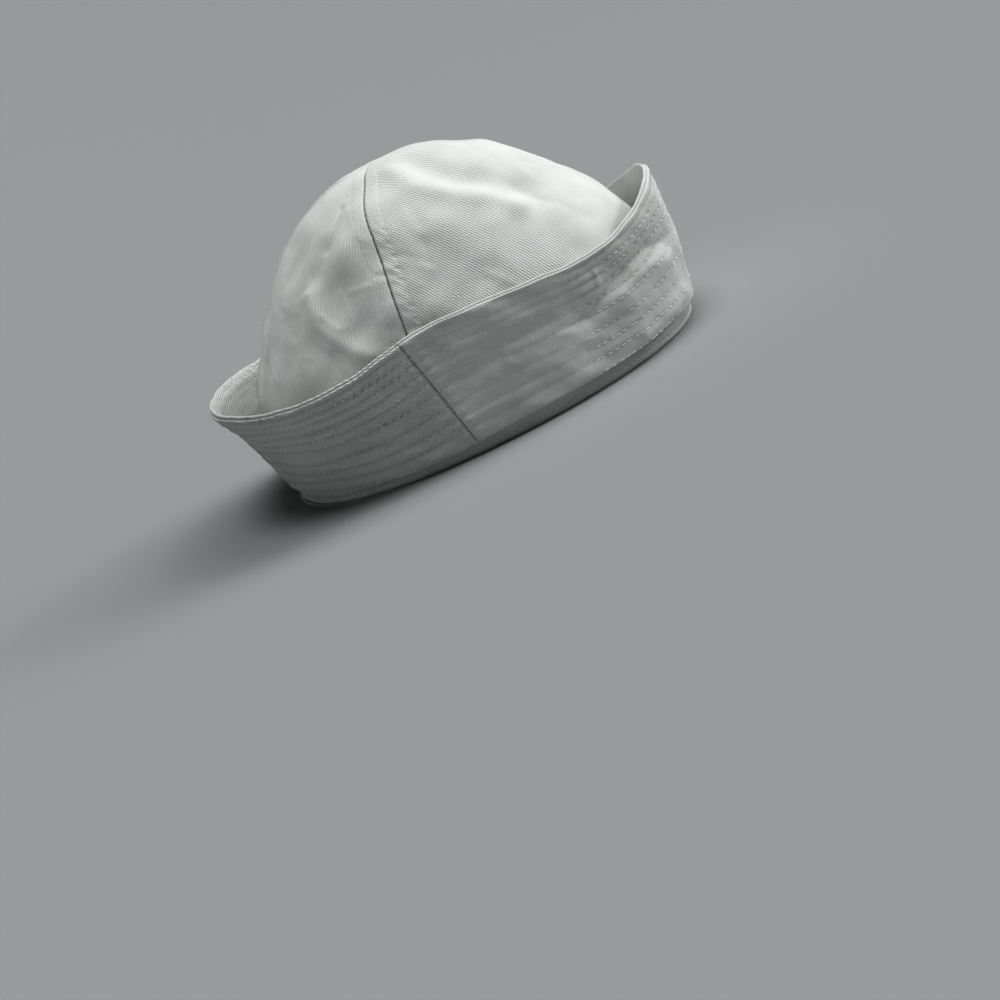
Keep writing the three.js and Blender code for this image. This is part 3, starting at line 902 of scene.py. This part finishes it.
# Threads: short tubes along centre lines, whose ends dive into the cloth. lines is (threads, places, 3).
def thread_mesh(name, lines, normals, radius, sides=5):
    count, places = lines.shape[:2]
    along = unit(np.gradient(lines, axis=1))
    side = unit(np.cross(normals, along))
    up = np.cross(along, side)
    slim = np.sqrt(np.clip(1 - np.linspace(-0.96, 0.96, places) ** 4, 0.05, 1)) * radius
    angle = np.arange(sides) * 2 * math.pi / sides
    ring = side[:, :, None] * np.cos(angle)[:, None] + up[:, :, None] * np.sin(angle)[:, None] * 0.8
    points = lines[:, :, None] + ring * slim[:, None, None]
    index = np.arange(points.size // 3).reshape(count, places, sides)
    closed = np.concatenate([index, index[:, :, :1]], axis=2)
    corners = closed[:, :-1, :-1], closed[:, :-1, 1:], closed[:, 1:, 1:], closed[:, 1:, :-1]
    faces = [np.stack(corners, axis=-1).reshape(-1, 4)]
    for ends, flip in ((index[:, 0], True), (index[:, -1], False)):
        for k in range(1, sides - 1, 2):
            last = min(k + 2, sides - 1)
            cap = np.stack([ends[:, 0], ends[:, k], ends[:, k + 1], ends[:, last]], axis=-1)
            faces.append(cap[:, ::-1] if flip else cap)
    flat = np.stack(np.broadcast_arrays(np.arange(places)[:, None] * 0.6, np.arange(sides) * 0.3), axis=-1)
    cloth = np.broadcast_to(flat, (count, places, sides, 2)).reshape(-1, 2)
    return mesh_of(name, points.reshape(-1, 3), np.concatenate(faces), cloth)


# Centres of stitches along a row, with a little unevenness in pitch.
def stitch_centres(first, last, pitch, seed):
    draw = np.random.default_rng(seed)
    count = int((last - first) / pitch)
    return first + (np.arange(count) + 0.5) * pitch + draw.normal(0, 0.12 * pitch, count)


# Radius of the thread in each row, pitch and length of the crown's stitches, and length of the band's.
BRIM_THREAD = 0.28
CROWN_THREAD = 0.17
BAND_THREAD = 0.22
LOOSE_THREAD = 0.16
CROWN_PITCH = 3.2
CROWN_STITCH = 2.3
BAND_STITCH = 2.8
# How far the middle of the brim's thread stands out of the cloth at the front, and at the back, where it
# is buried.
THREAD_PROUD_FRONT = 0.2
THREAD_PROUD_BACK = -0.24
# Degrees from the front at which the thread is buried, on the rows above and below the front's creases,
# and the turn over which it sinks.
CREASE_SHARE = 0.65
UPPER_THREAD_LIMIT = 56
LOWER_THREAD_LIMIT = 67
THREAD_SINKS_OVER = 6


# Threads of a row at a time: their centre lines, and the cloth's normals there.
def brim_threads():
    places = np.linspace(-0.5, 0.5, 7)
    for number, share in enumerate(STITCH_ROWS[:-1]):
        centres = stitch_centres(cuff_along(0.0), cuff_along(360.0), STITCH_PITCH, seed=60 + number)
        azimuth = np.interp(centres[:, None] + places * STITCH_LENGTH, ALONG, AZIMUTHS)
        level = share + 0 * azimuth
        normal = outward_normal(smooth_cuff, azimuth, level)
        limit = UPPER_THREAD_LIMIT if share > CREASE_SHARE else LOWER_THREAD_LIMIT
        buried = smooth_step(limit - THREAD_SINKS_OVER, limit, from_front(azimuth))
        proud = THREAD_PROUD_FRONT + (THREAD_PROUD_BACK - THREAD_PROUD_FRONT) * buried
        lift = proud - 0.7 * (np.abs(places) * 2) ** 6
        points = cuff_face(azimuth, level * cuff_wall(azimuth), 0 * azimuth)
        yield points + normal * lift[..., None], normal


CROWN_ROWS_FROM, CROWN_ROWS_TO = 0.2, 0.88


def crown_threads():
    places = np.linspace(-0.5, 0.5, 5)
    low, high = CROWN_ROWS_FROM * CROWN_RUN, CROWN_ROWS_TO * CROWN_RUN
    for gore, (first, last, end) in GORES.items():
        for seam, way in ((first, 1), (last, -1)):
            row = way * SEAM_STYLES[seam, end]["stitched_at"]
            centres = stitch_centres(low, high, CROWN_PITCH, seed=80 + way)
            share = (centres[:, None] + places * CROWN_STITCH) / CROWN_RUN
            azimuth = crown_seams(crown_column("height", share))[seam] + 0 * share
            azimuth = azimuth + row / crown_stretch(azimuth, share)
            points, normal = smooth_crown(azimuth, share), crown_normal(azimuth, share)
            # The thread of the front seam lies flat.
            proud = -0.12 if seam == "front" else 0.04
            lift = crown_lift(gore, azimuth, share, points) + proud - 0.3 * (np.abs(places) * 2) ** 3
            yield points + normal * lift[..., None], normal


def band_threads():
    places = np.linspace(-0.5, 0.5, 5)
    centres = stitch_centres(cuff_along(0.0), cuff_along(360.0), BAND_PITCH, seed=91)
    azimuth = np.interp(centres[:, None] + places * BAND_STITCH, ALONG, AZIMUTHS)
    out = BAND_OUT - BAND_LEAN + BAND_LEAN * (BAND_ROW - BAND_FOOT) / 4.0 - 0.2
    points = outline_point(azimuth, HEAD_HALF_LENGTH + out, HEAD_HALF_WIDTH + out, BAND_ROW)
    normal = level_normal(points)
    lift = 0.05 - 0.3 * (np.abs(places) * 2) ** 3
    yield points + normal * lift[:, None], normal


# Loose ends of sewing thread that cling to the brim behind its right side seam, as azimuths and heights.
LOOSE_THREADS = [
    [(113.0, 46.3), (112.3, 44.2), (111.5, 41.6)],
    [(110.0, 39.3), (109.0, 38.8), (108.6, 36.8), (108.0, 34.2)],
]


def loose_threads():
    step = np.linspace(0, 1, 14)
    for places in LOOSE_THREADS:
        knots = np.linspace(0, 1, len(places))
        azimuth, level = (np.interp(step, knots, values) for values in zip(*places))
        height = level - cuff_at("fold", azimuth)
        normal = outward_normal(smooth_cuff, azimuth, height / cuff_wall(azimuth))
        arch = 0.25 + 0.5 * np.sin(math.pi * step)
        points = cuff_face(azimuth, height, 0 * azimuth) + normal * arch[:, None]
        yield points[None], normal[None]


# One object of all the threads in some rows.
def make_threads(name, rows, radius, material):
    lines, normals = (np.concatenate(parts) for parts in zip(*rows))
    return make_object(name, thread_mesh(name, lines, normals, radius), material)


# Materials

def add_node(tree, kind, inputs=None, **settings):
    made = tree.nodes.new(kind)
    for key, value in settings.items():
        setattr(made, key, value)
    for key, value in (inputs or {}).items():
        if isinstance(value, bpy.types.NodeSocket):
            tree.links.new(value, made.inputs[key])
        else:
            made.inputs[key].default_value = value
    return made


def maths(tree, operation, *values):
    return add_node(tree, "ShaderNodeMath", dict(enumerate(values)), operation=operation).outputs[0]


# Waves from 0 to 1 along a phase.
def waves(tree, phase):
    return maths(tree, "MULTIPLY_ADD", maths(tree, "SINE", phase), 0.5, 0.5)


def noise(tree, at, scale, detail):
    inputs = {"Vector": at, "Scale": scale, "Detail": detail}
    return add_node(tree, "ShaderNodeTexNoise", inputs, noise_dimensions="2D").outputs["Fac"]


def remap(tree, value, low, high, new_low, new_high):
    inputs = {"Value": value, 1: low, 2: high, 3: new_low, 4: new_high}
    return add_node(tree, "ShaderNodeMapRange", inputs).outputs["Result"]


def scaled(tree, colour, factor):
    inputs = {0: colour, "Scale": factor}
    return add_node(tree, "ShaderNodeVectorMath", inputs, operation="SCALE").outputs["Vector"]


def cloth_coordinate(tree):
    return add_node(tree, "ShaderNodeUVMap", uv_map="cloth").outputs["UV"]


# A new material with its node tree and its shader, some of whose inputs are set.
def new_material(name, inputs):
    material = bpy.data.materials.new(name)
    material.use_nodes = True
    shader = material.node_tree.nodes["Principled BSDF"]
    for key, value in inputs.items():
        shader.inputs[key].default_value = value
    return material, material.node_tree, shader


def bump(tree, height, strength, distance):
    inputs = {"Height": height, "Strength": strength, "Distance": distance * MM}
    return add_node(tree, "ShaderNodeBump", inputs).outputs["Normal"]


# How much darker the cloth is painted in a furrow, as soil with painted shade, and how much of that the
# inner face of the brim's back takes, as painted shade.
FURROW_SOIL_AND_SHADE = 0.26
INNER_PAINTED_SHADE = 1.3


# Cotton twill: raised diagonal ribs a pitch apart, slightly uneven, over a cloth with faint soiling. The
# grooves between the ribs are painted darker by rib_contrast, as painted shade, and the cloth is painted
# darker in furrows. The pitch and the height of the ribs are in mm, and their angle in degrees.
def twill_material(name, colour, shade, rib_angle, rib_pitch, rib_height, rib_contrast):
    soft = {"Specular IOR Level": 0.25, "Sheen Weight": 0.25, "Sheen Roughness": 0.45}
    material, tree, shader = new_material(name, soft)
    cloth = cloth_coordinate(tree)
    turn = {"Vector": cloth, "Rotation": (0, 0, -rib_angle * DEGREE)}
    turned = add_node(tree, "ShaderNodeMapping", turn).outputs["Vector"]
    parts = add_node(tree, "ShaderNodeSeparateXYZ", {"Vector": turned})
    drifted = maths(tree, "MULTIPLY_ADD", noise(tree, cloth, 0.05, 2.0), 1.2, parts.outputs["Y"])
    across = maths(tree, "MULTIPLY_ADD", noise(tree, cloth, 0.35, 1.0), 0.35, drifted)
    rib_phase = maths(tree, "MULTIPLY", across, 2 * math.pi / rib_pitch)
    float_turn = 2 * math.pi / (1.3 * rib_pitch)
    float_phase = maths(tree, "MULTIPLY_ADD", parts.outputs["X"], float_turn, rib_phase)
    ribs = maths(tree, "MULTIPLY", waves(tree, rib_phase), 0.78)
    weave = maths(tree, "MULTIPLY_ADD", waves(tree, float_phase), 0.22, ribs)
    lint = noise(tree, cloth, 1.4, 3.0)
    relief = maths(tree, "MULTIPLY_ADD", lint, 0.5, weave)
    soil = remap(tree, noise(tree, cloth, 0.035, 4.0), 0.3, 0.75, 0.0, 1.0)
    mixed = {"Factor": soil, "A": (*colour, 1), "B": (*shade, 1)}
    base = add_node(tree, "ShaderNodeMix", mixed, data_type="RGBA").outputs["Result"]
    # Painted shade: the colour is darker in the grooves between the ribs and in the hollows of the lint.
    groove = maths(tree, "MULTIPLY_ADD", relief, rib_contrast, 1 - 1.1 * rib_contrast)
    furrow = add_node(tree, "ShaderNodeAttribute", attribute_name="furrow", attribute_type="GEOMETRY")
    # Painted shade, with some soil, where the furrow attribute is high: in stitched furrows, seam grooves
    # and on the inner face of the brim's back.
    shadow = maths(tree, "MULTIPLY_ADD", furrow.outputs["Fac"], -FURROW_SOIL_AND_SHADE, 1.0)
    soiled_and_shaded = scaled(tree, scaled(tree, base, groove), shadow)
    tree.links.new(soiled_and_shaded, shader.inputs["Base Color"])
    tree.links.new(remap(tree, lint, 0.2, 0.8, 0.82, 0.95), shader.inputs["Roughness"])
    tree.links.new(bump(tree, relief, 1.0, rib_height), shader.inputs["Normal"])
    return material


# Spun thread: a fine twist along each stitch, its colour painted darker in the twist's grooves as painted
# shade.
TWIST_PITCH = 0.5
TWIST_HEIGHT = 0.05


def thread_material(name, colour):
    material, tree, shader = new_material(name, {"Roughness": 0.7, "Sheen Weight": 0.2})
    parts = add_node(tree, "ShaderNodeSeparateXYZ", {"Vector": cloth_coordinate(tree)})
    slant = maths(tree, "ADD", parts.outputs["X"], parts.outputs["Y"])
    twist = waves(tree, maths(tree, "MULTIPLY", slant, 2 * math.pi / TWIST_PITCH))
    # Painted shade: the colour is darker in the twist's grooves.
    tone = maths(tree, "MULTIPLY_ADD", twist, 0.14, 0.86)
    tree.links.new(scaled(tree, colour, tone), shader.inputs["Base Color"])
    tree.links.new(bump(tree, twist, 0.6, TWIST_HEIGHT), shader.inputs["Normal"])
    return material


# Stage, lights and camera

# A floor that rises gently far away on all sides, so that no edge of it shows: radii and heights in metres.
FLOOR_RINGS = [(0, 0), (1, 0), (2.5, 0), (4, 0.12), (6, 0.55), (9, 1.6), (14, 4.2), (20, 8)]
FLOOR_SECTORS = 96
FLOOR_LOOK = {"Base Color": (0.33, 0.336, 0.34, 1), "Roughness": 0.9, "Specular IOR Level": 0.1}


def make_floor():
    angle = np.arange(FLOOR_SECTORS + 1) * 2 * math.pi / FLOOR_SECTORS
    points = np.array([[(r * math.cos(a), r * math.sin(a), z) for r, z in FLOOR_RINGS] for a in angle]) / MM
    index = np.arange(points.size // 3).reshape(points.shape[:2])
    weld = np.arange(index.size)
    weld[index[-1]] = index[0]
    weld[index[:, 0]] = 0
    mesh = mesh_of("floor", points.reshape(-1, 3), grid_faces(index, flip=True), weld=weld)
    made = make_object("floor", mesh, new_material("pale_floor", FLOOR_LOOK)[0])
    made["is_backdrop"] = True


# Wide soft lights, from in front and above: name, azimuth, elevation and strength. The surroundings add
# a little light from all sides.
LIGHTS = [
    ("low_front", -6, 15, 1.9),
    ("front", -15, 35, 0.8),
    ("high_front", -25, 55, 0.75),
    ("overhead", 30, 87, 1.2),
]
LIGHT_ANGLE = 32
WORLD_COLOUR = (0.9, 0.95, 1.0)
WORLD_STRENGTH = 0.02


def make_light(name, azimuth, elevation, strength):
    light = bpy.data.lights.new(name, "SUN")
    light.energy = strength
    light.angle = LIGHT_ANGLE * DEGREE
    made = bpy.data.objects.new(name, light)
    bpy.context.scene.collection.objects.link(made)
    level = math.cos(elevation * DEGREE)
    ahead, across = -math.cos(azimuth * DEGREE) * level, -math.sin(azimuth * DEGREE) * level
    place = Vector((across, ahead, math.sin(elevation * DEGREE)))
    made.location = place
    made.rotation_mode = "QUATERNION"
    made.rotation_quaternion = (-place).to_track_quat("-Z", "Y")


def make_lights():
    for row in LIGHTS:
        make_light(*row)
    world = bpy.data.worlds.new("studio")
    world.use_nodes = True
    background = world.node_tree.nodes["Background"]
    background.inputs["Color"].default_value = (*WORLD_COLOUR, 1)
    background.inputs["Strength"].default_value = WORLD_STRENGTH
    bpy.context.scene.world = world
    bpy.context.scene.view_settings.view_transform = "Standard"
    bpy.context.scene.view_settings.look = "High Contrast"


# The camera: degrees, metres, and the lens in mm. The target, a point on the floor, shows at a pixel of a
# square picture.
CAMERA_ELEVATION = 13.3
CAMERA_ROLL = 25.75
CAMERA_DISTANCE = 1.0
CAMERA_LENS = 75.06
CAMERA_SENSOR = 36.0
CAMERA_TARGET = (0.0, HEAD_CENTRE_Y * MM, 0.0)
TARGET_IN_PICTURE = (495.1, 397.6)
PICTURE_SIZE = 1000


# The camera looks at the wearer's right side, rolled so that the cap's front is up in the picture.
def make_camera():
    data = bpy.data.cameras.new("camera")
    data.sensor_width = CAMERA_SENSOR
    data.lens = CAMERA_LENS
    made = bpy.data.objects.new("camera", data)
    bpy.context.scene.collection.objects.link(made)
    elevation, roll = CAMERA_ELEVATION * DEGREE, CAMERA_ROLL * DEGREE
    back = Vector((-math.cos(elevation), 0, math.sin(elevation)))
    right = Vector((0, 0, 1)).cross(back).normalized()
    up = back.cross(right)
    rolled_right = right * math.cos(roll) - up * math.sin(roll)
    rolled_up = right * math.sin(roll) + up * math.cos(roll)
    level = Matrix((rolled_right, rolled_up, back)).transposed()
    focal = data.lens / data.sensor_width * PICTURE_SIZE
    across, down = (place - PICTURE_SIZE / 2 for place in TARGET_IN_PICTURE)
    seen = Vector((across / focal, -down / focal, -1)).normalized()
    aim = seen.rotation_difference(Vector((0, 0, -1))).to_matrix()
    place = Matrix.Translation(Vector(CAMERA_TARGET) + back * CAMERA_DISTANCE)
    made.matrix_world = place @ (level @ aim).to_4x4()
    data.clip_start, data.clip_end = 0.01, 60
    bpy.context.scene.camera = made


make_camera()
make_lights()
make_floor()

# Colours of clean and of slightly soiled cloth, and of the thread. The brim's colours are darker than the
# crown's, painted shade for the brim's shaded sides, and the headband's are darker still, painted shade
# under the brim's fold.
CROWN_WHITE, CROWN_SOILED = (0.79, 0.80, 0.785), (0.72, 0.73, 0.705)
BRIM_SHADED_WHITE, BRIM_SHADED_SOILED = (0.72, 0.73, 0.72), (0.65, 0.66, 0.64)
BAND_SHADED_WHITE, BAND_SHADED_SOILED = (0.64, 0.645, 0.63), (0.56, 0.565, 0.55)
THREAD_WHITE = (0.93, 0.935, 0.925)
crown_twill = twill_material(
    "crown_twill", CROWN_WHITE, CROWN_SOILED,
    rib_angle=78, rib_pitch=1.3, rib_height=0.18, rib_contrast=0.12,
)
brim_front_twill = twill_material(
    "brim_front_twill", BRIM_SHADED_WHITE, BRIM_SHADED_SOILED,
    rib_angle=84, rib_pitch=0.95, rib_height=0.11, rib_contrast=0.08,
)
brim_back_twill = twill_material(
    "brim_back_twill", BRIM_SHADED_WHITE, BRIM_SHADED_SOILED,
    rib_angle=8, rib_pitch=0.95, rib_height=0.24, rib_contrast=0.16,
)
band_twill = twill_material(
    "headband_twill", BAND_SHADED_WHITE, BAND_SHADED_SOILED,
    rib_angle=70, rib_pitch=0.9, rib_height=0.15, rib_contrast=0.12,
)
thread = thread_material("cotton_thread", THREAD_WHITE)

for gore in GORES:
    piece = crown_gore(gore, crown_twill)
    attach(piece, "root")
    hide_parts(gore)

for name, first_seam, last_seam, material in (
    ("cuff_back", right_cuff_seam, lambda share: 360 - right_cuff_seam(share), brim_back_twill),
    ("cuff_front", lambda share: -right_cuff_seam(share), right_cuff_seam, brim_front_twill),
):
    piece = cuff_piece(name + "_cloth", first_seam, last_seam, material)
    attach(piece, "root")
    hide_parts(name)

piece = headband(band_twill)
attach(piece, "root")
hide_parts("headband")

for name, rows, radius, slot in (
    ("brim_stitching", brim_threads(), BRIM_THREAD, "brim_twill"),
    ("crown_stitching", crown_threads(), CROWN_THREAD, "crown_twill"),
    ("headband_stitching", band_threads(), BAND_THREAD, "headband_twill"),
    ("loose_threads", loose_threads(), LOOSE_THREAD, "brim_twill"),
):
    piece = make_threads(name, rows, radius, thread)
    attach(piece, "root")

boxes = {"cad": cad_box, "visual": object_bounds()}
{name: [list(corner) for corner in box] for name, box in boxes.items()}
